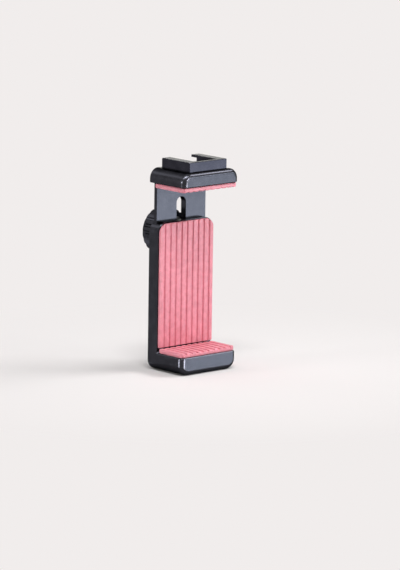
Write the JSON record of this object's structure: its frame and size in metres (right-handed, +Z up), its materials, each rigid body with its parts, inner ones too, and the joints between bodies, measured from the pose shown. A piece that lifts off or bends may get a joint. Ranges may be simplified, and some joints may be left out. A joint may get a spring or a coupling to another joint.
{
  "type": "tripod phone mount adapter",
  "caption": "Small aluminium clamp that grips a phone between two padded jaws, with a tripod thread below, a cold shoe on top and a locking knob behind.",
  "frame": {"origin": "mouth of the tripod thread, in the middle of the lower jaw's bottom face", "axes": "+Z up, from the lower jaw to the upper one; -Y is the front, the way a held phone's screen faces; +X runs along the held phone"},
  "size_m": [0.0316, 0.0344, 0.0921],
  "materials": {
    "black_anodised": "black anodised, satin gloss",
    "red_silicone": "matt moulded silicone",
    "steel": "turned stainless steel",
    "nylon": "plain black nylon",
    "brass": "turned brass"
  },
  "bodies": {
    "bracket": {"base_bracket": "black_anodised", "lower_jaw_pad": "red_silicone", "backrest_pad": "red_silicone", "bottom_thread_bush": "steel", "rear_thread_bush": "steel", "lock_stud": "steel", "stud_clip": "steel"},
    "slider": {"upper_jaw": "black_anodised", "upper_jaw_pad": "red_silicone", "cold_shoe": "black_anodised", "cold_shoe_screws": "steel"},
    "washer_stack": {"friction_washer": "nylon", "thrust_washer": "steel", "wave_washer": "steel"},
    "knob": {"lock_knob": "black_anodised", "knob_insert": "brass", "knob_cap": "black_anodised"}
  },
  "joints": [
    {"name": "jaw_slide", "type": "slide", "parent": "bracket", "child": "slider", "axis": [0, 0, 1], "range_m": [-0.0137, 0.0203]},
    {"name": "knob_travel", "type": "slide", "parent": "bracket", "child": "washer_stack", "axis": [0, 1, 0], "range_m": [0, 0.0012]},
    {"name": "knob_turn", "type": "hinge", "parent": "washer_stack", "child": "knob", "pos_m": [0, 0.0135, 0.0581], "axis": [0, 1, 0], "range_deg": [0, 540]}
  ],
  "couplings": [
    {"joint": "knob_travel", "follows": "knob_turn", "m_per_rad": 0.00012732}
  ]
}
